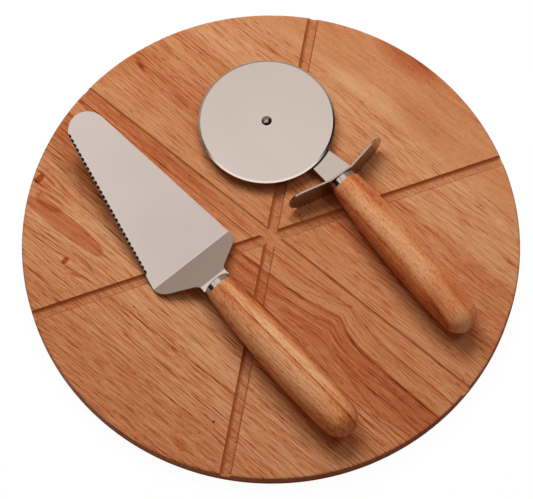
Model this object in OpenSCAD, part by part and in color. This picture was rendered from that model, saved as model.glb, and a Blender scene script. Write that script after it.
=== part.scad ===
// Round wooden pizza board with six slice grooves, a wheel cutter and a cake server lying on it.
// Origin: centre of the board's underside. X runs to the right, Y to the back, Z up.

/* [Board] */
// Diameter of the round board
board_d = 330; // [300:5:360]
// Thickness of the board
board_t = 12; // [10:0.5:18]
// Rounding along the top and bottom of the rim
rim_round = 1.8; // [1:0.1:3]
// Width of one glued stave
stave_w = 81.5; // [76:0.5:84]
// Distance from the middle of the board to the nearest glue line
stave_shift = 34.5; // [30:0.5:38]
// Direction of the staves, in degrees
stave_turn = -40.8; // [-90:0.2:90]

/* [Slice grooves] */
// Width of a groove at the top face
groove_w = 7.8; // [6:0.2:10]
// Depth of a groove
groove_depth = 2.6; // [1.6:0.1:3.6]
// Direction of the first groove, in degrees
groove_turn = 20.2; // [-30:0.2:30]
// Number of grooves that cross in the middle
groove_count = 3; // [2:1:4]

/* [Cutter wheel] */
// Diameter of the wheel
wheel_d = 92; // [80:1:100]
// Thickness of the wheel
wheel_t = 1; // [0.8:0.1:1.6]
// Width of the ground bevel
bevel_w = 1.4; // [0.8:0.1:3]
// Thickness left at the cutting edge
edge_t = 0.2; // [0.1:0.05:0.4]
// Diameter of the rivet that the wheel turns on
rivet_d = 4; // [3:0.2:6]
// Diameter of the rivet's domed head
rivet_head_d = 7; // [6.6:0.2:9]
// Height of the rivet's domed head
rivet_head_h = 1.6; // [1:0.1:2.4]
// Height of the rivet's peened end under the arm
rivet_tail_h = 0.4; // [0.3:0.1:1]
// Diameter of the washer between wheel and arm
washer_d = 13; // [9:0.5:16]
// Thickness of the washer
washer_t = 0.3; // [0.2:0.1:0.6]

/* [Cutter arm] */
// Distance of the wheel's centre from the line of the handle
wheel_side = 12.9; // [6:0.1:14]
// Distance of the wheel's middle plane below the line of the handle
wheel_drop = 1; // [0:0.1:5]
// Thickness of the arm
arm_t = 1.2; // [1:0.1:1.6]
// Radius of the arm's round end at the rivet
arm_end_r = 9.5; // [8:0.5:11]
// Distance from the wheel's centre to the arm's waist
arm_waist_at = 45; // [40:1:48]
// Width of the arm at its waist
arm_waist_w = 17.2; // [14:0.2:20]
// Distance of the waist's middle from the line of the handle
arm_waist_side = -1.1; // [-2:0.1:1.5]
// Distance from the wheel's centre to the arm's wide end
arm_root_at = 60.5; // [58:0.5:60.5]
// Width of the arm at its wide end
arm_root_w = 19.6; // [17:0.2:24]
// Distance of the wide end's middle from the line of the handle
arm_root_side = 1.3; // [0:0.1:2.5]
// Length of the step from the arm up to the tang
arm_step_l = 3.4; // [3:0.1:3.6]

/* [Finger guard] */
// Distance from the wheel's centre to the guard
guard_at = 64.2; // [64:0.1:68]
// Span of the guard from tip to tip
guard_span = 77; // [60:1:84]
// Height of the guard plate
guard_h = 20.8; // [14:0.2:21.2]
// Distance of the guard's middle below the line of the handle
guard_drop = 0.9; // [0:0.1:1]
// Thickness of the guard plate
guard_t = 1.2; // [0.8:0.1:1.6]
// Width of the guard's flat middle
guard_flat = 17; // [14:0.5:24]
// Angle by which the wings sweep toward the wheel
guard_sweep = 13; // [5:1:20]
// Bend radius where a wing starts
guard_bend_r = 10; // [4:1:16]

/* [Handles] */
// Length of the wooden handle behind its ferrule
handle_l = 128; // [110:1:145]
// Diameter of the handle at its neck
neck_d = 20.4; // [20:0.2:23]
// Largest diameter of the handle
belly_d = 28.2; // [26:0.2:31]
// Distance from the neck to the largest diameter
belly_at = 73; // [60:1:80]
// Diameter where the rounding of the butt starts
end_d = 24.6; // [23:0.2:26]
// Length of the rounded butt
butt_l = 12; // [10:0.5:14]
// Diameter of the flat on the butt
butt_flat_d = 10.4; // [6:0.2:13]

/* [Ferrules and tangs] */
// Outer diameter of a ferrule
ferrule_d = 19.4; // [18:0.2:19.8]
// Length of a ferrule
ferrule_l = 4.5; // [4:0.1:8]
// Wall of a ferrule
ferrule_wall = 0.7; // [0.5:0.1:1]
// Width of the tang inside a handle
tang_w = 12; // [8:0.5:14]
// Length of the tang behind the front of the ferrule
tang_l = 52; // [30:1:80]

/* [Server blade] */
// Thickness of the blade
blade_t = 1.2; // [1:0.1:1.6]
// Length of the flat blade from its heel bend to its tip
blade_l = 123.2; // [110:0.1:140]
// Width of the blade at its heel
heel_w = 63.7; // [50:0.1:70]
// Radius of the blade's round tip
tip_r = 13.5; // [9:0.1:18]
// Distance of the heel's middle from the line of the handle
heel_side = -0.4; // [-2:0.1:2]
// Distance of the tip's middle from the line of the handle
tip_side = 0.5; // [-4:0.1:4]
// Distance from the ferrule to the heel bend
heel_at = 26.4; // [26:0.2:34]
// Distance from the ferrule to the neck bend
neck_at = 4.2; // [4:0.2:8]
// Width of the blade's neck at the ferrule
blade_neck_w = 20.6; // [18:0.2:24]
// Width of the blade's neck where it is narrowest
blade_waist_w = 19; // [16:0.2:20]
// Distance from the ferrule to the corner of the shoulder
shoulder_at = 19.2; // [17:0.1:19.4]
// Distance from the ferrule to the corner between shoulder and neck
waist_at = 5.6; // [5:0.1:9]
// Rounding of the shoulder
shoulder_r = 11; // [4:0.5:11]
// Rounding between shoulder and neck
waist_r = 6; // [1:0.5:7]
// Inner radius of the sheet bends
bend_r = 1.5; // [0.5:0.1:3]
// Upward angle of the blade against the handle, in degrees
blade_rise = 15; // [8:0.2:18]

/* [Serrated edge] */
// Spacing of the flutes
flute_pitch = 3.56; // [3:0.02:4]
// Number of flutes
flute_count = 30; // [20:1:30]
// Radius of a flute
flute_r = 3; // [2.5:0.1:6]
// Distance that a flute reaches into the blade's face
flute_depth = 1.7; // [1:0.1:3.2]
// Slope of the ground flutes, in degrees
flute_slope = 43; // [30:1:60]
// Plain edge left between the last flute and the heel
flute_from_heel = 11.3; // [9:0.1:12]

/* [How the tools lie] */
// Cutter wheel's centre, to the right of the board's middle
cutter_x = -3.6; // [-10:0.1:10]
// Cutter wheel's centre, behind the board's middle
cutter_y = 80.4; // [76:0.1:90]
// Direction of the cutter's handle, in degrees
cutter_turn = -52.2; // [-56:0.1:-48]
// Slope of the cutter's handle, in degrees
cutter_pitch = 2.3; // [1:0.1:3]
// Front of the server's ferrule, to the right of the board's middle
server_x = -35.2; // [-42:0.1:-28]
// Front of the server's ferrule, behind the board's middle
server_y = -37.1; // [-44:0.1:-30]
// Direction of the server's handle, in degrees
server_turn = -49.4; // [-52:0.1:-46]
// Slope of the server's handle, in degrees
server_pitch = 2.4; // [1:0.1:3]

/* [Clearances] */
// Gap under the tools where they lie on the board
rest_gap = 0.3; // [0.1:0.05:0.4]
// Gap around a tang and inside a ferrule
fit_gap = 0.1; // [0.05:0.05:0.2]
// Running gap of the wheel on its rivet
run_gap = 0.05; // [0.03:0.01:0.1]

/* [Hidden] */
$fn = 96;

// Overrun of every cut past the face that it opens
over = 1;
// Points along one rounded corner, and along the blade's tip
corner_steps = 6;
tip_steps = 36;
// Facets of the long curves of a handle
long_fn = 720;

groove_r = (groove_w * groove_w / 4 + groove_depth * groove_depth) / (2 * groove_depth);
stave_count = 5;

belly_r = belly_d / 2;
front_sag = belly_r - neck_d / 2;
front_r = (belly_at * belly_at + front_sag * front_sag) / (2 * front_sag);
back_l = handle_l - butt_l - belly_at;
back_sag = belly_r - end_d / 2;
back_r = (back_l * back_l + back_sag * back_sag) / (2 * back_sag);
butt_sag = (end_d - butt_flat_d) / 2;
butt_r = (butt_l * butt_l + butt_sag * butt_sag) / (2 * butt_sag);
spigot_l = ferrule_l - ferrule_wall - fit_gap;

// The cutter lies on the lower edge of its guard and on the curve of its handle.
cutter_neck_at = guard_at + guard_t + ferrule_l;
wheel_up = rest_gap + front_r - (wheel_drop + front_r - belly_r) * cos(cutter_pitch)
    - (cutter_neck_at + belly_at) * sin(cutter_pitch);
under_wheel = wheel_t / 2 + run_gap + washer_t + arm_t + rivet_tail_h;
arm_down = wheel_t / 2 + run_gap + washer_t + arm_t / 2;

// The server lies on the heel bend of its blade and on the curve of its handle.
server_up = rest_gap + front_r - (front_r - belly_r) * cos(server_pitch)
    - (ferrule_l + belly_at) * sin(server_pitch);
heel_down = (server_up - rest_gap - heel_at * sin(server_pitch)) / cos(server_pitch) - blade_t / 2;

function unit(v) = v / norm(v);
function turned(v) = [-v[1], v[0]];

// Arc of points that rounds the corner b between its neighbours a and c.
function corner(a, b, c, r) =
    let (u = unit(a - b), v = unit(c - b), half = acos(u * v) / 2)
    let (m = b + unit(u + v) * r / sin(half), s = b + u * r / tan(half) - m)
    let (way = u[0] * v[1] - u[1] * v[0] > 0 ? -1 : 1)
    let (from = atan2(s[1], s[0]), sweep = way * (180 - 2 * half))
    [for (i = [0:corner_steps]) m + r * [cos(from + sweep * i / corner_steps),
                                         sin(from + sweep * i / corner_steps)]];

// Path whose inner corners are rounded by the radius listed for each.
function rounded(p, r) = [
    for (i = [0:len(p) - 1])
        each (r[i] == 0 ? [p[i]] : corner(p[i - 1], p[i], p[i + 1], r[i]))
];

// Line beside an open path, at distance d to its left.
function beside(p, d) = [
    for (i = [0:len(p) - 1])
        let (u = i == 0 ? unit(p[1] - p[0]) : unit(p[i] - p[i - 1]))
        let (v = i == len(p) - 1 ? u : unit(p[i + 1] - p[i]))
        let (m = unit(turned(u) + turned(v)))
        p[i] + m * d / (m * turned(u))
];

function reversed(p) = [for (i = [len(p) - 1:-1:0]) p[i]];

// Outline of a sheet of thickness t that follows an open path.
function sheet(p, t) = concat(beside(p, t / 2), reversed(beside(p, -t / 2)));

// Point on a circle where the line from p touches it, on the side given by 1 or -1.
function touch(m, r, p, side) =
    atan2(p[1] - m[1], p[0] - m[0]) + side * acos(r / norm(p - m));

// Side of the blade from its tang to its heel, which lies at distance w from the handle's line.
function blade_side(w) = rounded(
    [[tang_l, tang_w / 2], [0, tang_w / 2], [0, blade_neck_w / 2], [-waist_at, blade_waist_w / 2],
     [-shoulder_at, w], [-heel_at, w]],
    [0, 0, 0, waist_r, shoulder_r, 0]
);

module on_cutter() {
    translate([cutter_x, cutter_y, board_t + wheel_up])
        rotate([0, 0, cutter_turn]) rotate([0, -cutter_pitch, 0]) children();
}

module on_server() {
    translate([server_x, server_y, board_t + server_up])
        rotate([0, 0, server_turn]) rotate([0, -server_pitch, 0]) children();
}

module along_handle() {
    translate([0, wheel_side, wheel_drop]) children();
}

module board_blank() {
    rotate_extrude() {
        square([board_d / 2 - rim_round, board_t]);
        translate([0, rim_round]) square([board_d / 2, board_t - 2 * rim_round]);
        for (z = [rim_round, board_t - rim_round])
            translate([board_d / 2 - rim_round, z]) circle(r = rim_round);
    }
}

module grooves() {
    for (i = [0:groove_count - 1])
        rotate([0, 0, groove_turn + i * 180 / groove_count])
            translate([0, 0, board_t - groove_depth + groove_r]) rotate([0, 90, 0])
                cylinder(h = board_d + 2 * over, r = groove_r, center = true);
}

module board_stave(i) {
    low = i == 1 ? -board_d / 2 - over : stave_shift + (i - 4) * stave_w;
    high = i == stave_count ? board_d / 2 + over : stave_shift + (i - 3) * stave_w;
    color([0.74, 0.47, 0.31]) difference() {
        intersection() {
            board_blank();
            rotate([0, 0, stave_turn]) translate([-board_d / 2 - over, low, -over])
                cube([board_d + 2 * over, high - low, board_t + 2 * over]);
        }
        grooves();
    }
}

module cutter_wheel() {
    rim = wheel_d / 2;
    bore = rivet_d / 2 + run_gap;
    color([0.82, 0.78, 0.75]) on_cutter() rotate_extrude() polygon([
        [bore, -wheel_t / 2], [rim - bevel_w, -wheel_t / 2], [rim, -edge_t / 2],
        [rim, edge_t / 2], [rim - bevel_w, wheel_t / 2], [bore, wheel_t / 2]
    ]);
}

module wheel_rivet() {
    dome_r = (rivet_head_d * rivet_head_d / 4 + rivet_head_h * rivet_head_h) / (2 * rivet_head_h);
    head_at = wheel_t / 2 + run_gap;
    color([0.75, 0.72, 0.69]) on_cutter() {
        translate([0, 0, -under_wheel]) cylinder(h = under_wheel + head_at + rivet_head_h / 2, d = rivet_d);
        translate([0, 0, -under_wheel]) cylinder(h = rivet_tail_h, d = rivet_head_d);
        translate([0, 0, head_at]) intersection() {
            translate([0, 0, rivet_head_h - dome_r]) sphere(r = dome_r);
            cylinder(h = rivet_head_h + over, d = rivet_head_d + over);
        }
    }
}

module wheel_washer() {
    color([0.7, 0.68, 0.66]) on_cutter() translate([0, 0, -wheel_t / 2 - run_gap - washer_t])
        difference() {
            cylinder(h = washer_t, d = washer_d);
            translate([0, 0, -over]) cylinder(h = washer_t + 2 * over, d = rivet_d);
        }
}

module cutter_arm() {
    waist = [arm_waist_at, wheel_side + arm_waist_side];
    root = [arm_root_at, wheel_side + arm_root_side];
    tang_at = arm_root_at + arm_step_l;
    tang_end = guard_at + guard_t + tang_l;
    waist_up = waist + [0, arm_waist_w / 2];
    waist_low = waist - [0, arm_waist_w / 2];
    from = touch([0, 0], arm_end_r, waist_up, 1);
    to = 360 + touch([0, 0], arm_end_r, waist_low, -1);
    outline = concat(
        [[tang_end, wheel_side + tang_w / 2], [tang_at, wheel_side + tang_w / 2],
         root + [0, arm_root_w / 2], waist_up],
        [for (i = [0:tip_steps]) arm_end_r * [cos(from + (to - from) * i / tip_steps),
                                              sin(from + (to - from) * i / tip_steps)]],
        [waist_low, root - [0, arm_root_w / 2],
         [tang_at, wheel_side - tang_w / 2], [tang_end, wheel_side - tang_w / 2]]
    );
    path = rounded([[-arm_end_r - over, -arm_down], [arm_root_at, -arm_down],
                    [tang_at, wheel_drop], [tang_end, wheel_drop]], [0, arm_t, arm_t, 0]);
    color([0.82, 0.79, 0.77]) on_cutter() difference() {
        intersection() {
            translate([0, 0, -arm_down - arm_t]) linear_extrude(wheel_drop + arm_down + 2 * arm_t)
                polygon(outline);
            translate([0, -wheel_d / 2, 0]) rotate([90, 0, 0]) mirror([0, 0, 1])
                linear_extrude(wheel_d) polygon(sheet(path, arm_t));
        }
        translate([0, 0, -under_wheel]) cylinder(h = under_wheel, d = rivet_d);
    }
}

module finger_guard() {
    wing = (guard_span - guard_flat) / 2;
    tip = [-wing * tan(guard_sweep), guard_span / 2 + over];
    path = rounded([[tip[0], -tip[1]], [0, -guard_flat / 2], [0, guard_flat / 2], tip],
                   [0, guard_bend_r, guard_bend_r, 0]);
    end_r = guard_h / 2;
    color([0.72, 0.69, 0.66]) on_cutter() along_handle() difference() {
        intersection() {
            translate([guard_at + guard_t / 2, 0, -guard_h]) linear_extrude(2 * guard_h)
                polygon(sheet(path, guard_t));
            translate([guard_at - wing, 0, -guard_drop]) rotate([0, 90, 0]) linear_extrude(2 * wing)
                union() {
                    square([guard_h, guard_span - guard_h], center = true);
                    for (s = [-1, 1]) translate([0, s * (guard_span / 2 - end_r)]) circle(r = end_r);
                }
        }
        translate([guard_at - over, 0, 0]) tang_room(guard_t + 2 * over, 0);
    }
}

// Room for a tang of length l along X, widened by the gap g.
module tang_room(l, g) {
    translate([0, -tang_w / 2 - g, -arm_t / 2 - g]) cube([l, tang_w + 2 * g, arm_t + 2 * g]);
}

module ferrule() {
    r = ferrule_d / 2;
    difference() {
        rotate([0, 90, 0]) difference() {
            union() {
                translate([0, 0, ferrule_wall]) cylinder(h = ferrule_l - ferrule_wall, r = r);
                cylinder(h = ferrule_wall, r1 = r - ferrule_wall, r2 = r);
            }
            translate([0, 0, ferrule_wall]) cylinder(h = ferrule_l, r = r - ferrule_wall);
        }
        translate([-over, 0, 0]) tang_room(ferrule_wall + 2 * over, 0);
    }
}

// Wooden handle along X, with its neck at zero and a spigot inside the ferrule.
module handle() {
    difference() {
        rotate([0, 90, 0]) {
            translate([0, 0, -spigot_l])
                cylinder(h = spigot_l + over, r = ferrule_d / 2 - ferrule_wall - fit_gap);
            rotate_extrude() rotate([0, 0, 90]) mirror([0, 1, 0]) handle_half();
        }
        translate([-ferrule_l, 0, 0]) tang_room(tang_l + fit_gap, fit_gap);
    }
}

// Half section of the handle: length along X, radius along Y.
module handle_half() {
    intersection() {
        square([belly_at, belly_d]);
        translate([belly_at, belly_r - front_r]) circle(r = front_r, $fn = long_fn);
    }
    translate([belly_at, 0]) intersection() {
        square([back_l, belly_d]);
        translate([0, belly_r - back_r]) circle(r = back_r, $fn = long_fn);
    }
    translate([handle_l - butt_l, 0]) intersection() {
        square([butt_l, belly_d]);
        translate([0, end_d / 2 - butt_r]) circle(r = butt_r);
    }
}

module cutter_ferrule() {
    color([0.8, 0.78, 0.76]) on_cutter() along_handle()
        translate([guard_at + guard_t, 0, 0]) ferrule();
}

module cutter_handle() {
    color([0.78, 0.52, 0.33]) on_cutter() along_handle()
        translate([cutter_neck_at, 0, 0]) handle();
}

module server_blade() {
    plain_w = heel_w / 2 + heel_side;
    fluted_w = heel_w / 2 - heel_side;
    plain_heel = [-heel_at, plain_w];
    fluted_heel = [-heel_at, -fluted_w];
    tip = [-heel_at - blade_l * cos(blade_rise) + tip_r, tip_side];
    from = touch(tip, tip_r, plain_heel, 1);
    to = 360 + touch(tip, tip_r, fluted_heel, -1);
    outline = concat(
        blade_side(plain_w),
        [for (i = [0:tip_steps]) tip + tip_r * [cos(from + (to - from) * i / tip_steps),
                                                sin(from + (to - from) * i / tip_steps)]],
        [for (p = reversed(blade_side(fluted_w))) [p[0], -p[1]]]
    );
    sheet_l = blade_l + over;
    path = rounded([[-heel_at - sheet_l * cos(blade_rise), -heel_down + sheet_l * sin(blade_rise)],
                    [-heel_at, -heel_down], [-neck_at, 0], [tang_l, 0]],
                   [0, bend_r + blade_t / 2, bend_r + blade_t / 2, 0]);
    edge = tip + tip_r * [cos(to), sin(to)] - fluted_heel;
    color([0.82, 0.78, 0.75]) on_server() difference() {
        intersection() {
            translate([0, 0, -heel_down - blade_t]) linear_extrude(2 * heel_down + blade_l * sin(blade_rise))
                polygon(outline);
            translate([0, -heel_w, 0]) rotate([90, 0, 0]) mirror([0, 0, 1])
                linear_extrude(2 * heel_w) polygon(sheet(path, blade_t));
        }
        translate([-heel_at, 0, -heel_down]) rotate([0, blade_rise, 0])
            translate([0, -fluted_w, blade_t / 2])
                rotate([0, 0, atan2(edge[1], edge[0] / cos(blade_rise))])
                    for (i = [0:flute_count - 1])
                        translate([flute_from_heel + (i + 1 / 2) * flute_pitch, 0, 0]) flute();
    }
}

// Round cut ground across an edge that runs along X, sloping down and outward to Y+.
module flute() {
    translate([0, -flute_depth, 0]) rotate([-90 - flute_slope, 0, 0])
        translate([0, -flute_r, 0]) cylinder(h = 4 * flute_depth + 4 * blade_t, r = flute_r, center = true);
}

module server_ferrule() {
    color([0.8, 0.78, 0.76]) on_server() ferrule();
}

module server_handle() {
    color([0.78, 0.52, 0.33]) on_server() translate([ferrule_l, 0, 0]) handle();
}

board_stave(1);  // board_stave_1
board_stave(2);  // board_stave_2
board_stave(3);  // board_stave_3
board_stave(4);  // board_stave_4
board_stave(5);  // board_stave_5
cutter_wheel();
wheel_rivet();
wheel_washer();
cutter_arm();
finger_guard();
cutter_ferrule();
cutter_handle();
server_blade();
server_ferrule();
server_handle();
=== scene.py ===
import math

import bpy
from mathutils import Matrix, Vector

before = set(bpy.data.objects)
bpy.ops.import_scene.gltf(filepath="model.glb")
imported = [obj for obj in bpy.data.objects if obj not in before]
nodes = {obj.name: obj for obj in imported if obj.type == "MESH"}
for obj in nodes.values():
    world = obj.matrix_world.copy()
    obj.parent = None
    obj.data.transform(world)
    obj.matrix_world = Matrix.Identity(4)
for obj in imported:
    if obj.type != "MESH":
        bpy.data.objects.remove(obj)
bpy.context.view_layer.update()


def wire(tree, value, socket):
    if isinstance(value, bpy.types.NodeSocket):
        tree.links.new(value, socket)
    elif value is not None:
        socket.default_value = value


def maths(tree, kind, a, b=None):
    node = tree.nodes.new("ShaderNodeMath")
    node.operation = kind
    wire(tree, a, node.inputs[0])
    wire(tree, b, node.inputs[1])
    return node.outputs[0]


def total(tree, *values):
    out = values[0]
    for value in values[1:]:
        out = maths(tree, "ADD", out, value)
    return out


def product(tree, *values):
    out = values[0]
    for value in values[1:]:
        out = maths(tree, "MULTIPLY", out, value)
    return out


def minus(tree, a, b):
    return maths(tree, "SUBTRACT", a, b)


def rest(tree, mask):  # where a mask is not
    return minus(tree, 1.0, mask)


def apart(tree, a, b):  # how far two values lie from each other
    return maths(tree, "ABSOLUTE", minus(tree, a, b))


def swing(tree, value, amount):  # a 0 to 1 value as a change about zero
    return product(tree, minus(tree, value, 0.5), amount)


def vectors(tree, kind, a, b=None):
    node = tree.nodes.new("ShaderNodeVectorMath")
    node.operation = kind
    wire(tree, a, node.inputs[0])
    wire(tree, b, node.inputs[1])
    return node.outputs["Value" if kind in ("LENGTH", "DOT_PRODUCT") else "Vector"]


def awayFrom(tree, place, centre):
    return vectors(tree, "LENGTH", vectors(tree, "SUBTRACT", place, centre))


def span(tree, value, low, high, newLow=0.0, newHigh=1.0, smooth=False):
    node = tree.nodes.new("ShaderNodeMapRange")
    node.interpolation_type = "SMOOTHSTEP" if smooth else "LINEAR"
    for each, socket in zip((value, low, high, newLow, newHigh), node.inputs):
        wire(tree, each, socket)
    return node.outputs["Result"]


def facingTo(tree, normal, way, limits):  # mask of what faces one way
    return span(tree, vectors(tree, "DOT_PRODUCT", normal, way), *limits, smooth=True)


def placed(tree, place, scale=(1, 1, 1), turn=0.0):
    node = tree.nodes.new("ShaderNodeMapping")
    wire(tree, place, node.inputs["Vector"])
    node.inputs["Rotation"].default_value = (0, 0, math.radians(turn))
    wire(tree, scale, node.inputs["Scale"])
    return node.outputs["Vector"]


def noise(tree, place, look, seed=None):  # look is a blotch's size in mm, the detail and the roughness
    size, detail, rough = look
    node = tree.nodes.new("ShaderNodeTexNoise")
    if seed is not None:
        node.noise_dimensions = "4D"
        wire(tree, seed, node.inputs["W"])
    wire(tree, placed(tree, place, tuple(1 / s for s in size)), node.inputs["Vector"])
    node.inputs["Scale"].default_value = 1.0
    node.inputs["Detail"].default_value = detail
    node.inputs["Roughness"].default_value = rough
    return node.outputs["Fac"]


def mixed(tree, share, first, second):
    node = tree.nodes.new("ShaderNodeMix")
    node.data_type, node.blend_type = "RGBA", "MIX"
    wire(tree, share, node.inputs[0])
    for colour, socket in ((first, node.inputs[6]), (second, node.inputs[7])):
        wire(tree, colour if isinstance(colour, bpy.types.NodeSocket) else (*colour, 1), socket)
    return node.outputs[2]


def ramp(tree, value, stops):
    node = tree.nodes.new("ShaderNodeValToRGB")
    wire(tree, value, node.inputs["Fac"])
    points = node.color_ramp.elements
    for i, (at, colour) in enumerate(stops):
        point = points[i] if i < 2 else points.new(at)
        point.position = at
        point.color = (*colour, 1) if hasattr(colour, "__len__") else (colour, colour, colour, 1)
    return node.outputs["Color"]


def profile(tree, value, stops):  # value against listed (place, level) pairs
    low, high = stops[0][0], stops[-1][0]
    levels = [((at - low) / (high - low), level) for at, level in stops]
    return ramp(tree, span(tree, value, low, high), levels)


def parts(tree, place):
    node = tree.nodes.new("ShaderNodeSeparateXYZ")
    wire(tree, place, node.inputs[0])
    return node.outputs[0], node.outputs[1], node.outputs[2]


def joined(tree, x, y, z):
    node = tree.nodes.new("ShaderNodeCombineXYZ")
    for value, socket in zip((x, y, z), node.inputs):
        wire(tree, value, socket)
    return node.outputs[0]


def newGroup(name, inputs, outputs):
    tree = bpy.data.node_groups.new(name, "ShaderNodeTree")
    for way, sockets in (("INPUT", inputs), ("OUTPUT", outputs)):
        for label, kind in sockets.items():
            tree.interface.new_socket(label, in_out=way, socket_type="NodeSocket" + kind)
    start = tree.nodes.new("NodeGroupInput").outputs
    end = tree.nodes.new("NodeGroupOutput").inputs
    return tree, start, end


def useGroup(tree, group, **values):
    node = tree.nodes.new("ShaderNodeGroup")
    node.node_tree = group
    for label, value in values.items():
        wire(tree, value, node.inputs[label])
    return node.outputs


def newMaterial(name):  # Place comes in millimetres
    material = bpy.data.materials.new(name)
    material.use_nodes = True
    tree = material.node_tree
    shader = tree.nodes["Principled BSDF"]
    where = tree.nodes.new("ShaderNodeTexCoord").outputs["Object"]
    return material, tree, shader, placed(tree, where, (1000, 1000, 1000))


def bumped(tree, shader, height, strength, depth):
    node = tree.nodes.new("ShaderNodeBump")
    node.inputs["Strength"].default_value = strength
    node.inputs["Distance"].default_value = depth
    wire(tree, height, node.inputs["Height"])
    tree.links.new(node.outputs["Normal"], shader.inputs["Normal"])
    return node.outputs["Normal"]


def dress(names, material):
    for name in names:
        nodes[name].data.materials.clear()
        nodes[name].data.materials.append(material)


def fromSrgb(r, g, b):
    def one(v):
        v /= 255
        return v / 12.92 if v <= 0.04045 else ((v + 0.055) / 1.055) ** 2.4
    return one(r), one(g), one(b)


knot = {
    "crown": 1.2,   # how round the bend is on top
    "fall": -2.4,   # how fast it dies away
    "hem": 5.0,     # mm below the ceiling in which it stops
}


# Growth lines part round a knot, or peak over it. Place runs along the grain in x.
def makeKnotBend():
    tree, start, end = newGroup(
        "knotBend",
        {"Place": "Vector", "Centre": "Vector", "Reach": "Vector", "Lean": "Float",
         "Part": "Float", "Push": "Float", "Ceiling": "Float"},
        {"Place": "Vector"},
    )
    x, y, z = parts(tree, start["Place"])
    dx, dy, dz = parts(tree, vectors(tree, "SUBTRACT", start["Place"], start["Centre"]))
    steep = maths(tree, "MAXIMUM", dx, product(tree, dx, start["Lean"]))  # shorter on its far side
    off = vectors(tree, "DIVIDE", joined(tree, steep, dy, 0.0), start["Reach"])
    crown = maths(tree, "POWER", vectors(tree, "LENGTH", off), knot["crown"])
    bell = maths(tree, "POWER", total(tree, crown, 1.0), knot["fall"])
    hem = minus(tree, start["Ceiling"], knot["hem"])
    held = span(tree, y, start["Ceiling"], hem, smooth=True)
    pull = total(tree, product(tree, dy, bell, start["Part"]), product(tree, bell, start["Push"]))
    wire(tree, joined(tree, x, minus(tree, y, product(tree, pull, held)), z), end["Place"])
    return tree


# each noise has its size in mm along, across and into the wood, its detail and its roughness
grain = {
    "sway": ((110, 45, 45), 1.5, 0.5),
    "wiggle": ((20, 6, 6), 1, 0.5), "wiggleBy": 1.5,
    "cloud": ((90, 12, 20), 2, 0.55), "cloudShare": 0.6,
    "band": ((36, 3.6, 8), 2, 0.5), "bandShare": 0.4,
    # growth rings are thin lines, strong in some places and gone in others
    "drift": ((160, 26, 40), 1.5, 0.5), "driftBy": 9.0,
    "ringWidth": 0.3,
    "fade": ((20, 2.6, 6), 2, 0.6), "fadeSpan": (0.4, 0.6),
    "thread": ((20, 0.62, 2), 2, 0.6), "darkThreads": (0.53, 0.68),
    "paleThreads": (0.46, 0.34, 0.0, 0.6),
    "fibre": ((8, 0.45, 1.4), 2, 0.7),
    "pore": ((5.5, 0.6, 1.4), 1, 0.5), "poreSpan": (0.63, 0.7),
    "fuzz": ((2.6, 0.7, 1.2), 2, 0.6),
}


def makeWoodFigure():
    tree, start, end = newGroup(
        "woodFigure",
        {"Place": "Vector", "Seed": "Float", "Wave": "Float", "Spacing": "Float"},
        {"Broad": "Float", "Rings": "Float", "Lines": "Float", "Fibres": "Float", "Pores": "Float",
         "Fuzz": "Float"},
    )
    place, seed = start["Place"], start["Seed"]
    x, y, z = parts(tree, place)
    sway = swing(tree, noise(tree, place, grain["sway"], seed), start["Wave"])
    wiggle = swing(tree, noise(tree, place, grain["wiggle"], seed), grain["wiggleBy"])
    level = total(tree, y, sway, wiggle)
    bent = joined(tree, x, level, z)
    cloud = product(tree, noise(tree, bent, grain["cloud"], seed), grain["cloudShare"])
    band = product(tree, noise(tree, bent, grain["band"], seed), grain["bandShare"])
    wire(tree, total(tree, cloud, band), end["Broad"])
    drift = product(tree, noise(tree, bent, grain["drift"], seed), grain["driftBy"])
    turns = total(tree, maths(tree, "DIVIDE", level, start["Spacing"]), drift)
    fromLine = apart(tree, maths(tree, "FRACT", turns), 0.5)
    line = span(tree, fromLine, grain["ringWidth"], 0.0, smooth=True)
    fade = span(tree, noise(tree, bent, grain["fade"], seed), *grain["fadeSpan"])
    wire(tree, product(tree, line, fade), end["Rings"])
    thread = noise(tree, bent, grain["thread"], seed)
    wire(tree, minus(tree, span(tree, thread, *grain["darkThreads"]),
                     span(tree, thread, *grain["paleThreads"])), end["Lines"])
    wire(tree, noise(tree, bent, grain["fibre"], seed), end["Fibres"])
    wire(tree, span(tree, noise(tree, bent, grain["pore"], seed), *grain["poreSpan"]), end["Pores"])
    wire(tree, noise(tree, place, grain["fuzz"], seed), end["Fuzz"])
    return tree


knotBend = makeKnotBend()
woodFigure = makeWoodFigure()

woodLook = {
    "ringMean": 0.2,        # taken off, so that rings don't darken the whole
    "throughDepth": 1e6,    # patches run through the thickness
    "crispEdge": 0.2,       # a patch with a thinner edge than this is crisp
    "crispHides": 0.65,     # and hides this share of the lines under it
    "crispOutline": 0.16,   # inside a darker outline
    "edgeRough": 6, "smallRough": 0.1,       # a thin edge or a small patch is less ragged
    "ragBroad": 0.9, "ragFibres": 0.5,
    "streakRag": 0.5, "streakCore": 0.2, "streakTaper": 12,
    "palette": (("pale", 0.0), ("tan", 0.3), ("red", 0.62), ("dark", 0.9), ("black", 1.0)),
    "specular": 0.12,
}


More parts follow.
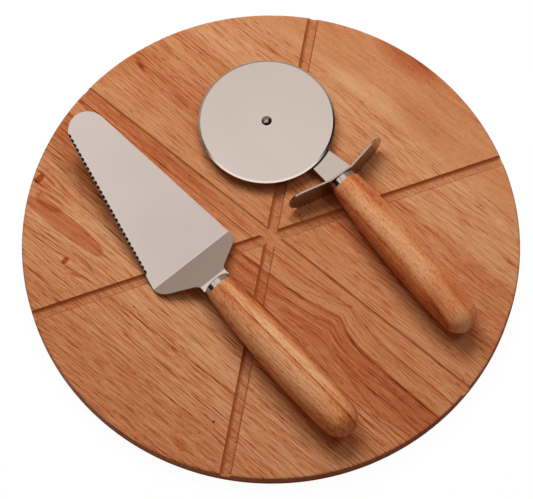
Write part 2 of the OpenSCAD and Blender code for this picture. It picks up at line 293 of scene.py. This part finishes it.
def withPatch(tree, tone, place, figure, patch):
    centre, reach, amount, edge = patch
    shift = vectors(tree, "SUBTRACT", place, (*centre, 0))
    off = vectors(tree, "DIVIDE", shift, (*reach, woodLook["throughDepth"]))
    rough = min(1, edge * woodLook["edgeRough"], min(reach) * woodLook["smallRough"])
    ring = total(tree, vectors(tree, "LENGTH", off),
                 swing(tree, figure["Broad"], woodLook["ragBroad"] * rough),
                 swing(tree, figure["Fibres"], woodLook["ragFibres"] * rough))
    mask = span(tree, ring, 1 + edge, 1 - edge, smooth=True)
    if edge >= woodLook["crispEdge"]:
        return total(tree, tone, product(tree, mask, amount))
    share = product(tree, mask, woodLook["crispHides"])
    paintedWheelShade = product(tree, minus(tree, amount, tone), share)
    outline = span(tree, apart(tree, ring, 1.0), edge, 0.0, smooth=True)
    return total(tree, tone, paintedWheelShade, product(tree, outline, woodLook["crispOutline"]))


def withStreak(tree, tone, place, figure, streak):
    height, slant, thick, start, stop, amount = streak
    x, y, z = parts(tree, place)
    off = total(tree, y, product(tree, x, -slant), -height,
                swing(tree, figure["Fibres"], woodLook["streakRag"]))
    core = thick * woodLook["streakCore"]
    mask = span(tree, maths(tree, "ABSOLUTE", off), thick, core, smooth=True)
    rises = span(tree, x, start, start + woodLook["streakTaper"], smooth=True)
    falls = span(tree, x, stop, stop - woodLook["streakTaper"], smooth=True)
    return total(tree, tone, product(tree, mask, rises, falls, amount))


def woodTone(tree, place, figure, wood):
    x, y, z = parts(tree, place)
    across = total(tree, y, swing(tree, figure["Broad"], wood["drift"]))
    rings = minus(tree, figure["Rings"], woodLook["ringMean"])
    tone = total(tree, profile(tree, across, wood["tone"]),
                 swing(tree, figure["Broad"], wood["broad"]),
                 product(tree, rings, wood["rings"]),
                 product(tree, figure["Lines"], wood["lines"]),
                 swing(tree, figure["Fibres"], wood["fibres"]),
                 swing(tree, figure["Fuzz"], wood["fuzz"]))
    for patch in wood["patches"]:
        tone = withPatch(tree, tone, place, figure, patch)
    for streak in wood["streaks"]:
        tone = withStreak(tree, tone, place, figure, streak)
    return tone


def woodColour(tree, tone, palette, holes, amount):
    colour = ramp(tree, tone, [(at, palette[shade]) for shade, at in woodLook["palette"]])
    pores = product(tree, holes, span(tree, tone, *palette["poreTone"]), amount)
    return mixed(tree, pores, colour, palette["pore"]), pores


def woodFinish(tree, shader, figure, colour, look):
    wire(tree, colour, shader.inputs["Base Color"])
    wire(tree, span(tree, figure["Fuzz"], 0.2, 0.8, *look["rough"]), shader.inputs["Roughness"])
    shader.inputs["Specular IOR Level"].default_value = woodLook["specular"]


def bentByKnots(tree, place, knots):
    for centre, reach, lean, part, push, ceiling in knots:
        place = useGroup(tree, knotBend, Place=place, Centre=(*centre, 0), Reach=(*reach, 1),
                         Lean=lean, Part=part, Push=push, Ceiling=ceiling)["Place"]
    return place


board = {
    "turn": -40.8,  # of the grain
    "thick": 12,
    "radius": 165,
    "pale": fromSrgb(219, 169, 124),
    "tan": fromSrgb(206, 141, 96),
    "red": fromSrgb(185, 106, 64),
    "dark": fromSrgb(146, 62, 30),
    "black": fromSrgb(72, 34, 20),
    "pore": fromSrgb(158, 62, 22),
    "poreTone": (0.1, 0.6, 0.35, 1.0),  # pores show more on darker wood
    "rough": (0.5, 0.66),
    "fibreRelief": 0.5, "bump": 0.2, "bumpDepth": 0.0002,
}
rim = {
    "colour": fromSrgb(134, 56, 26),  # end grain drinks more oil; on the side that faces the front this colour is also painted shade
    "from": 1.8, "to": 1.2,           # mm in from the edge
    "endGrain": (0.2, 0.9), "drunk": (0.5, 0.85),
    # the rim's colour goes only where the rim faces the front, away from the lamps: painted shade
    "front": (0.55, -0.83, 0.0), "frontSpan": (-0.2, 0.3),
}
groove = {
    # painted light and shade for the groove walls: the lighter orange goes on walls facing the front,
    # the darker brown on walls facing the back and on walls facing the grain's way; the brown is also
    # the ticks' colour
    "paintedWallLightAndShade": fromSrgb(220, 130, 70),
    "shadeAndTickBrown": fromSrgb(160, 84, 44),
    "depth": (0.1, 0.5),              # mm down at which its colours start
    "steep": (0.85, 0.6),             # height of a wall's normal
    "paintedShadeSide": (-0.1, 0.1),
    "dim": (0.757, -0.653, 0.0), "dimSpan": (0.12, 0.5),
    "ticks": ((1.9, 0.8, 1.2), 2, 0.7), "tickSpan": (0.46, 0.6),
    "tickShare": 0.5, "wallShare": 0.75, "dimShare": 0.6, "allShare": 0.18,
    # one groove runs along the grain, and takes less colour
    "alongSlant": 0.0175, "alongHalf": (3.5, 4.9), "alongShare": 0.25,
    # its floor is shaded flat between the walls
    "floor": (1.0, 2.1), "floorEnd": (5.0, 4.0), "floorShare": 0.6, "floorUp": (0.0, 0.0, 4.0),
}
everywhere = 999

# Tone is 0 for pale and 1 for dark, listed across each stave. Places are in mm, x along the grain.
# knot: centre, reach, lean, part, push, ceiling; patch: centre, reach, amount, edge;
# streak: height, slant, thickness, start, stop, amount
staves = {
    "board_stave_5": {
        "seed": 1.3, "wave": 26, "slant": 0.0, "spacing": 6, "pores": 0.25, "drift": 8,
        "broad": 0.5, "rings": 0.1, "lines": 0.06, "fibres": 0.36, "fuzz": 0.45,
        "tone": [(116, 0.26), (135, 0.32), (150, 0.34), (165, 0.42)],
        "knots": [((-14, 158), (60, 24), 1, 0.5, 6, everywhere)],
        "patches": [
            ((-16, 157), (24, 7), 0.3, 0.5), ((-22, 123), (28, 8), -0.2, 0.6),
            ((22, 132), (24, 7), 0.12, 0.6),
        ],
        "streaks": [],
    },
    "board_stave_4": {
        "seed": 4.1, "wave": 10, "slant": 0.0, "spacing": 4.2, "pores": 0.95, "drift": 8,
        "broad": 0.6, "rings": 0.24, "lines": 0.39, "fibres": 0.78, "fuzz": 0.24,
        "tone": [
            (34, 0.62), (42, 0.5), (52, 0.39), (66, 0.34), (73, 0.46), (80, 0.24), (90, 0.2),
            (104, 0.26), (116, 0.28),
        ],
        "knots": [],
        "patches": [((-150.5, 36), (4, 0.9), 0.35, 0.4), ((120, 56), (26, 14), 0.1, 0.6)],
        "streaks": [
            (104, 0.0, 0.8, -150, -40, 0.2), (98, -0.02, 0.6, 30, 140, 0.16),
            (68, 0.0, 0.7, -150, -95, 0.22),
        ],
    },
    "board_stave_3": {
        "seed": 7.7, "wave": 7, "slant": 0.0, "spacing": 3.4, "pores": 1.0, "drift": 3,
        "broad": 0.35, "rings": 0.12, "lines": 0.35, "fibres": 0.65, "fuzz": 0.22,
        "tone": [
            (-47, 0.5), (-42, 0.46), (-37, 0.6), (-33, 0.48), (-30, 0.66), (-26, 0.5), (-24, 0.7),
            (-22.6, 0.86), (-21.6, 0.36), (-17, 0.36), (-13.5, 0.4), (-11, 0.52), (-9.7, 0.72),
            (-8.9, 0.34), (2, 0.34), (6, 0.33), (18, 0.37), (30, 0.39), (34.5, 0.54),
        ],
        "knots": [((71, -15), (56, 60), 2.2, 0.0, 10, 3)],
        "patches": [
            ((-100, -4), (78, 5), 0.3, 0.5), ((71, -8.6), (1.9, 1.5), 0.4, 0.4),
            ((130, -36), (60, 14), 0.1, 0.6),
        ],
        "streaks": [],
    },
    "board_stave_2": {
        "seed": 12.4, "wave": 8, "slant": 0.0, "spacing": 3.1, "pores": 0.95, "drift": 6,
        "broad": 0.5, "rings": 0.3, "lines": 0.50, "fibres": 0.94, "fuzz": 0.24,
        "tone": [
            (-128.5, 0.44), (-118, 0.34), (-106, 0.3), (-98, 0.38), (-92, 0.22), (-75, 0.24),
            (-62, 0.36), (-47, 0.54),
        ],
        "knots": [
            ((-144, -71), (26, 16), 1, 0.8, 0, everywhere),
            ((-91, -101.4), (16, 8), 1, 0.9, 0, everywhere),
        ],
        "patches": [
            ((-143, -77), (10, 13), 0.12, 0.4), ((-108, -83.5), (33, 5.8), 0.7, 0.12),
            ((-127, -77.5), (11, 5), 0.22, 0.25), ((-144, -71), (2.2, 1.6), 1.04, 0.19),
            ((-91, -101.4), (1.7, 1.3), 1.12, 0.19), ((56, -119.6), (0.9, 0.7), 0.7, 0.3),
            ((-35, -96), (0.8, 0.6), 0.5, 0.3), ((112, -74), (40, 16), 0.14, 0.6),
        ],
        "streaks": [
            (-99.5, 0.035, 0.7, -60, 60, 0.4), (-113, 0.0, 0.6, -10, 60, 0.22),
            (-70, -0.03, 0.7, -130, -60, 0.16),
        ],
    },
    "board_stave_1": {
        "seed": 17.9, "wave": 6, "slant": -0.05, "spacing": 3.2, "pores": 1.0, "drift": 6,
        "broad": 0.4, "rings": 0.24, "lines": 0.45, "fibres": 0.84, "fuzz": 0.24,
        "tone": [(-165, 0.46), (-145, 0.42), (-128, 0.4)],
        "knots": [],
        "patches": [],
        "streaks": [],
    },
}


def boardWood(name, stave):
    material, tree, shader, place = newMaterial(name)
    flat = parts(tree, place)
    outward = vectors(tree, "LENGTH", joined(tree, flat[0], flat[1], 0.0))
    depth = minus(tree, board["thick"], flat[2])
    straight = placed(tree, place, turn=-board["turn"])
    bent = bentByKnots(tree, straight, stave["knots"])
    x, y, z = parts(tree, bent)
    slanted = joined(tree, x, total(tree, y, product(tree, x, stave["slant"])), z)
    figure = useGroup(tree, woodFigure, Place=slanted, Seed=stave["seed"], Wave=stave["wave"],
                      Spacing=stave["spacing"])
    tone = woodTone(tree, bent, figure, stave)
    colour, pores = woodColour(tree, tone, board, figure["Pores"], stave["pores"])

    # grooves across the grain are darker than the one along it, with short ticks; the darker inside is
    # partly end grain and partly painted shade, and the walls get painted light and shade by the way
    # they face
    normal = tree.nodes.new("ShaderNodeNewGeometry").outputs["Normal"]
    inside = span(tree, outward, board["radius"] - rim["to"], board["radius"] - rim["from"])
    inGroove = product(tree, span(tree, depth, *groove["depth"]), inside)
    along = parts(tree, straight)
    fromAlong = apart(tree, along[1], product(tree, along[0], groove["alongSlant"]))
    across = span(tree, fromAlong, *groove["alongHalf"], groove["alongShare"], 1.0)
    steep = span(tree, parts(tree, normal)[2], *groove["steep"], smooth=True)
    # painted shade on the walls that face the grain's way, away from the lamps
    dim = facingTo(tree, normal, groove["dim"], groove["dimSpan"])
    ticks = span(tree, noise(tree, bent, groove["ticks"]), *groove["tickSpan"])
    # painted shade on walls that face the back, painted light on walls that face the front, chosen by
    # facing and not by light
    shadeAndTickBrown = span(tree, parts(tree, normal)[1], *groove["paintedShadeSide"])
    paintedWallLightAndShade = mixed(tree, shadeAndTickBrown, groove["paintedWallLightAndShade"], groove["shadeAndTickBrown"])
    for mask, share, paint in ((ticks, "tickShare", groove["shadeAndTickBrown"]), (steep, "wallShare", paintedWallLightAndShade),
                               (dim, "dimShare", groove["shadeAndTickBrown"])):
        colour = mixed(tree, product(tree, inGroove, mask, across, groove[share]), colour, paint)
    colour = mixed(tree, product(tree, inGroove, across, groove["allShare"]), colour, groove["shadeAndTickBrown"])

    # the rim is darkest where it shows end grain, and only on the side that faces the front, which is
    # painted shade
    turn = math.radians(board["turn"])
    endOn = vectors(tree, "DOT_PRODUCT", normal, (math.cos(turn), math.sin(turn), 0))
    endGrain = span(tree, maths(tree, "ABSOLUTE", endOn), *rim["endGrain"], smooth=True)
    drunk = span(tree, endGrain, 0.0, 1.0, *rim["drunk"])
    front = facingTo(tree, normal, rim["front"], rim["frontSpan"])
    onRim = product(tree, rest(tree, inside), steep, drunk, front)
    colour = mixed(tree, onRim, colour, rim["colour"])
    woodFinish(tree, shader, figure, colour, board)

    relief = minus(tree, product(tree, figure["Fibres"], board["fibreRelief"]), pores)
    bump = bumped(tree, shader, relief, board["bump"], board["bumpDepth"])
    level = product(tree, span(tree, depth, *groove["floor"], smooth=True), inside,
                    span(tree, depth, *groove["floorEnd"]), rest(tree, dim), groove["floorShare"])
    upward = vectors(tree, "MULTIPLY", joined(tree, *groove["floorUp"]),
                     joined(tree, level, level, level))
    flatter = vectors(tree, "NORMALIZE", vectors(tree, "ADD", bump, upward))
    wire(tree, flatter, shader.inputs["Normal"])
    return material


for stave, settings in staves.items():
    dress([stave], boardWood("woodOf_" + stave, settings))
print("board wood done")

handle = {
    "half": 64.0,  # mm from the neck to the middle
    "pale": fromSrgb(232, 184, 139),
    "tan": fromSrgb(219, 154, 104),
    "red": fromSrgb(197, 113, 64),
    "dark": fromSrgb(140, 62, 28),
    "black": fromSrgb(78, 38, 20),
    "pore": fromSrgb(160, 58, 14),
    "poreTone": (0.0, 0.6, 0.35, 1.0),
    "specks": ((2.6, 0.7, 0.9), 1, 0.5), "speckSpan": (0.59, 0.67),
    "butt": (115, 128),  # where the rounding darkens, from the neck
    "rough": (0.36, 0.48),
    "fibreRelief": 0.4, "poreRelief": 0.2, "bump": 0.15, "bumpDepth": 0.0001,
}
cutterHandle = {
    "neck": (39.5, 44.2, 22.0), "turn": -52.2, "seed": 21.0, "wave": 12, "spacing": 5,
    "bow": 2.0, "tilt": 0.0, "pores": 0.85, "drift": 8,
    "broad": 0.45, "rings": 0.12, "lines": 0.12, "fibres": 0.36, "fuzz": 0.26,
    # tone listed across the handle: the wood's bands, with partly painted shade in the darker tone
    # towards its front side, away from the lamps
    "tone": [
        (-16, 0.76), (-12, 0.64), (-9, 0.54), (-7.5, 0.58), (-6, 0.3), (0, 0.2), (4, 0.3),
        (7, 0.5), (10, 0.5), (16, 0.46),
    ],
    "patches": [
        ((16, -5), (14, 6), 0.12, 0.5), ((30, 6), (24, 4), 0.14, 0.5),
        ((118, 0), (14, 10), 0.2, 0.6),
    ],
    "streaks": [(-8.4, 0.0, 0.5, 14, 100, 0.16)],
    "butt": 0.06,
}
serverHandle = {
    "neck": (-32.3, -40.5, 23.8), "turn": -49.4, "seed": 33.0, "wave": 10, "spacing": 4.5,
    "bow": -1.0, "tilt": 0.045, "pores": 0.75, "drift": 4,
    "broad": 0.4, "rings": 0.18, "lines": 0.34, "fibres": 0.42, "fuzz": 0.2,
    # tone listed across the handle: the wood's bands, with partly painted shade in the darker tone
    # towards both its edges, most on the front side
    "tone": [
        (-18, 0.8), (-14, 0.52), (-11, 0.34), (-8, 0.22), (-4, 0.22), (-1, 0.28), (0.2, 0.4),
        (0.8, 0.5), (1.8, 0.14), (5.5, 0.12), (7.5, 0.42), (12, 0.74),
    ],
    "patches": [
        ((118, 4), (14, 8), 0.2, 0.6), ((118, -6), (16, 6), 0.14, 0.6),
        ((4, 0), (26, 14), 0.16, 0.7),
    ],
    "streaks": [
        (0.7, 0.0, 0.5, 5, 122, 0.22), (-0.8, 0.0, 0.4, -5, 12, 0.25),
        (-2.6, 0.02, 0.4, 60, 105, 0.14),
    ],
    "butt": 0.22,
}


def handleWood(name, wood):
    material, tree, shader, place = newMaterial(name)
    fromNeck = vectors(tree, "SUBTRACT", place, wood["neck"])
    x, y, z = parts(tree, placed(tree, fromNeck, turn=-wood["turn"]))
    half = handle["half"]
    away = maths(tree, "DIVIDE", minus(tree, x, half), half)
    bow = product(tree, away, away, wood["bow"])
    tilt = product(tree, away, -half * wood["tilt"])
    bowed = joined(tree, x, total(tree, y, bow, tilt), z)
    figure = useGroup(tree, woodFigure, Place=bowed, Seed=wood["seed"], Wave=wood["wave"],
                      Spacing=wood["spacing"])
    tone = woodTone(tree, bowed, figure, wood)
    tone = total(tree, tone, span(tree, x, *handle["butt"], 0.0, wood["butt"]))
    specks = span(tree, noise(tree, bowed, handle["specks"], wood["seed"]), *handle["speckSpan"])
    holes = maths(tree, "MAXIMUM", figure["Pores"], specks)
    colour, pores = woodColour(tree, tone, handle, holes, wood["pores"])
    woodFinish(tree, shader, figure, colour, handle)
    relief = minus(tree, product(tree, figure["Fibres"], handle["fibreRelief"]),
                   product(tree, pores, handle["poreRelief"]))
    bumped(tree, shader, relief, handle["bump"], handle["bumpDepth"])
    return material


dress(["cutter_handle"], handleWood("cutterHandleWood", cutterHandle))
dress(["server_handle"], handleWood("serverHandleWood", serverHandle))
print("handles done")

steelGrain = {
    "brushed": ((40, 0.25, 0.25), 3, 0.6), "brushedShare": 0.6,
    "cloud": ((30, 30, 30), 2, 0.5), "cloudShare": 0.4,
    "smoother": 1.3, "rougher": 2,    # times the brush, off and on the roughness
    "relief": 0.06, "reliefDepth": 0.00005,
}

# turn is the way the brushing runs, and brush how strong it is
steels = {
    "wheelSteel": {
        "on": ["cutter_wheel"],
        "colour": (0.725, 0.63, 0.572), "rough": 0.3, "turn": -52.2, "brush": 0.03,
        # the ground edge is polished
        "polished": {"centre": (-3.6, 80.4, 20.2), "from": 44.5, "to": 44.6, "rough": 0.1},
    },
    "armSteel": {
        "on": ["cutter_arm"],
        "colour": (0.58, 0.495, 0.44), "rough": 0.26, "turn": 37.8, "brush": 0.01,
        "relief": 0.004,
        # painted shadow and dark reflection: the arm is painted near black beside the wheel, where the
        # wheel hides the room from it
        "paintedWheelShade": {"centre": (-3.6, 80.4, 15.0), "from": 47.9, "to": 47.3,
                   "colour": (0.03, 0.025, 0.02)},
    },
    "bladeSteel": {
        "on": ["server_blade"],
        "colour": (0.69, 0.59, 0.532), "rough": 0.3, "turn": -49.4, "brush": 0.03,
        # the serrations' flutes face the front and are polished
        "flutes": {"facing": (-0.28, -0.34), "rough": 0.1},
    },
    # the guard's darker, browner colour is partly painted reflection of the shaded wood beside it
    "guardSteel": {
        "on": ["finger_guard"],
        "colour": (0.46, 0.36, 0.30), "rough": 0.22, "turn": -52.2, "brush": 0.06,
    },
    "rivetSteel": {
        "on": ["wheel_rivet", "wheel_washer"],
        "colour": (0.42, 0.34, 0.29), "rough": 0.24, "turn": -50, "brush": 0.03,
    },
    "ferruleSteel": {
        "on": ["cutter_ferrule", "server_ferrule"],
        "colour": (0.5, 0.43, 0.38), "rough": 0.16, "turn": -50, "brush": 0.03,
    },
}


def satinSteel(name, steel):
    material, tree, shader, place = newMaterial(name)
    brushed = noise(tree, placed(tree, place, turn=-steel["turn"]), steelGrain["brushed"])
    cloud = noise(tree, place, steelGrain["cloud"])
    shade = total(tree, product(tree, brushed, steelGrain["brushedShare"]),
                  product(tree, cloud, steelGrain["cloudShare"]))
    brush, rough = steel["brush"], steel["rough"]
    tint = mixed(tree, shade, tuple(v * (1 - brush) for v in steel["colour"]),
                 tuple(v * (1 + brush) for v in steel["colour"]))
    # painted shadow and dark reflection of the wheel on the arm beside it
    if "paintedWheelShade" in steel:
        paintedWheelShade = steel["paintedWheelShade"]
        off = awayFrom(tree, place, paintedWheelShade["centre"])
        tint = mixed(tree, span(tree, off, paintedWheelShade["from"], paintedWheelShade["to"]), tint, paintedWheelShade["colour"])
    wire(tree, tint, shader.inputs["Base Color"])
    shader.inputs["Metallic"].default_value = 1.0
    roughness = span(tree, shade, 0.2, 0.8, rough - steelGrain["smoother"] * brush,
                     rough + steelGrain["rougher"] * brush)
    if "flutes" in steel:
        flutes = steel["flutes"]
        facing = parts(tree, tree.nodes.new("ShaderNodeTexCoord").outputs["Normal"])[1]
        ground = span(tree, facing, *flutes["facing"])
        roughness = minus(tree, roughness, product(tree, ground, rough - flutes["rough"]))
    if "polished" in steel:
        edge = steel["polished"]
        ground = span(tree, awayFrom(tree, place, edge["centre"]), edge["from"], edge["to"])
        roughness = minus(tree, roughness, product(tree, ground, rough - edge["rough"]))
    wire(tree, roughness, shader.inputs["Roughness"])
    bumped(tree, shader, brushed, steel.get("relief", steelGrain["relief"]),
           steelGrain["reliefDepth"])
    return material


for name, settings in steels.items():
    dress(settings["on"], satinSteel(name, settings))
print("steel done")

floorLook = {
    "size": 8,
    "height": -0.0003,  # just under the board, so that the two faces don't flicker
    "colour": (0.9, 0.9, 0.9, 1),
    "rough": 0.9,
    "glow": 1.02,       # what the camera sees of it, apart from the shadow
    "glowShare": 0.95,
}


def makeFloor():
    bpy.ops.object.select_all(action="DESELECT")
    bpy.ops.mesh.primitive_plane_add(size=floorLook["size"], location=(0, 0, floorLook["height"]))
    floor = bpy.context.object
    floor.name = "floor"
    material = bpy.data.materials.new("floorPaper")
    material.use_nodes = True
    tree = material.node_tree
    shader = tree.nodes["Principled BSDF"]
    shader.inputs["Base Color"].default_value = floorLook["colour"]
    shader.inputs["Roughness"].default_value = floorLook["rough"]
    shader.inputs["Specular IOR Level"].default_value = 0.0
    glow = tree.nodes.new("ShaderNodeEmission")
    glow.inputs["Strength"].default_value = floorLook["glow"]
    rays = tree.nodes.new("ShaderNodeLightPath").outputs
    blend = tree.nodes.new("ShaderNodeMixShader")
    wire(tree, product(tree, rays["Is Camera Ray"], floorLook["glowShare"]), blend.inputs[0])
    wire(tree, shader.outputs[0], blend.inputs[1])
    wire(tree, glow.outputs[0], blend.inputs[2])
    wire(tree, blend.outputs[0], tree.nodes["Material Output"].inputs["Surface"])
    floor.data.materials.append(material)


room = {
    "fill": 0.155,            # soft light from all round
    "fillColour": (1.0, 0.68, 0.48),
    # the rest is what the steel sees
    "mirror": 1.15,
    "overhead": (-0.05, 0.12, 0.991), "overheadSpan": (0.87, 0.925),
    "patch": (-0.63, -0.13, 0.766), "patchSpan": (0.965, 0.98),
    "back": 0.46,             # low behind the board
    "front": 0.02,            # to the right and in front
    "right": 1.3, "left": -0.5, "backSpan": (-0.15, 0.25),
    "lowColour": (1.0, 0.88, 0.8),
}


def makeWorld():
    world = bpy.data.worlds.new("studioWorld")
    world.use_nodes = True
    bpy.context.scene.world = world
    tree = world.node_tree
    way = tree.nodes.new("ShaderNodeTexCoord").outputs["Generated"]
    x, y, z = parts(tree, way)
    bright = maths(tree, "MAXIMUM", facingTo(tree, way, room["overhead"], room["overheadSpan"]),
                   facingTo(tree, way, room["patch"], room["patchSpan"]))
    sideways = maths(tree, "MAXIMUM", product(tree, x, room["right"]),
                     product(tree, x, room["left"]))
    behind = span(tree, minus(tree, y, sideways), *room["backSpan"], smooth=True)
    low = span(tree, behind, 0.0, 1.0, room["front"], room["back"])
    mirror = total(tree, product(tree, bright, room["mirror"]),
                   product(tree, rest(tree, bright), low))

    rays = tree.nodes.new("ShaderNodeLightPath").outputs
    shiny = maths(tree, "MAXIMUM", rays["Is Glossy Ray"], rays["Is Transmission Ray"])
    level = total(tree, product(tree, shiny, mirror),
                  product(tree, rest(tree, shiny), room["fill"]))
    back = tree.nodes["Background"]
    wire(tree, maths(tree, "MAXIMUM", level, rays["Is Camera Ray"]), back.inputs["Strength"])
    plain = maths(tree, "MAXIMUM", shiny, rays["Is Camera Ray"])
    colour = mixed(tree, plain, room["fillColour"], (1, 1, 1))
    dim = product(tree, shiny, rest(tree, bright))
    wire(tree, mixed(tree, dim, colour, room["lowColour"]), back.inputs["Color"])


lamps = {
    "keyLight": {"energy": 9.25, "at": (-0.17, 0.54, 0.94), "size": (0.8, 0.5)},
    "sideLight": {"energy": 1.6, "at": (0.5, 0.1, 1.0), "size": (0.4, 0.4)},
}


def makeLamp(name, settings):
    lamp = bpy.data.lights.new(name, "AREA")
    lamp.shape = "RECTANGLE"
    lamp.size, lamp.size_y = settings["size"]
    lamp.energy = settings["energy"]
    holder = bpy.data.objects.new(name, lamp)
    holder.location = settings["at"]
    holder.rotation_euler = (-Vector(settings["at"])).to_track_quat("-Z", "Y").to_euler()
    holder.visible_glossy = False  # the steel mirrors the world instead
    bpy.context.scene.collection.objects.link(holder)


camera = {
    "imageWidth": 533,
    "focalPixels": 2050.4,
    "sensor": 36.0,
    "clip": (0.05, 20),
    "elevation": 68.997,
    "roll": 0.473,
    "distance": 1.36705,
    "target": (-0.00295, -0.00434, 0.0),
}


def makeCamera():
    data = bpy.data.cameras.new("photoCamera")
    data.sensor_width = camera["sensor"]
    data.lens = camera["focalPixels"] / camera["imageWidth"] * camera["sensor"]
    data.clip_start, data.clip_end = camera["clip"]
    shooter = bpy.data.objects.new("photoCamera", data)
    bpy.context.scene.collection.objects.link(shooter)
    e, roll = math.radians(camera["elevation"]), math.radians(camera["roll"])
    back = Vector((0, -math.cos(e), math.sin(e)))
    right, up = Vector((1, 0, 0)), Vector((0, math.sin(e), math.cos(e)))
    across = right * math.cos(roll) + up * math.sin(roll)
    above = up * math.cos(roll) - right * math.sin(roll)
    turn = Matrix((across, above, back)).transposed().to_4x4()
    eye = Vector(camera["target"]) + back * camera["distance"]
    shooter.matrix_world = Matrix.Translation(eye) @ turn
    bpy.context.scene.camera = shooter


makeFloor()
makeWorld()
for name, settings in lamps.items():
    makeLamp(name, settings)
makeCamera()
bpy.context.scene.view_settings.view_transform = "Standard"
print("stage done")
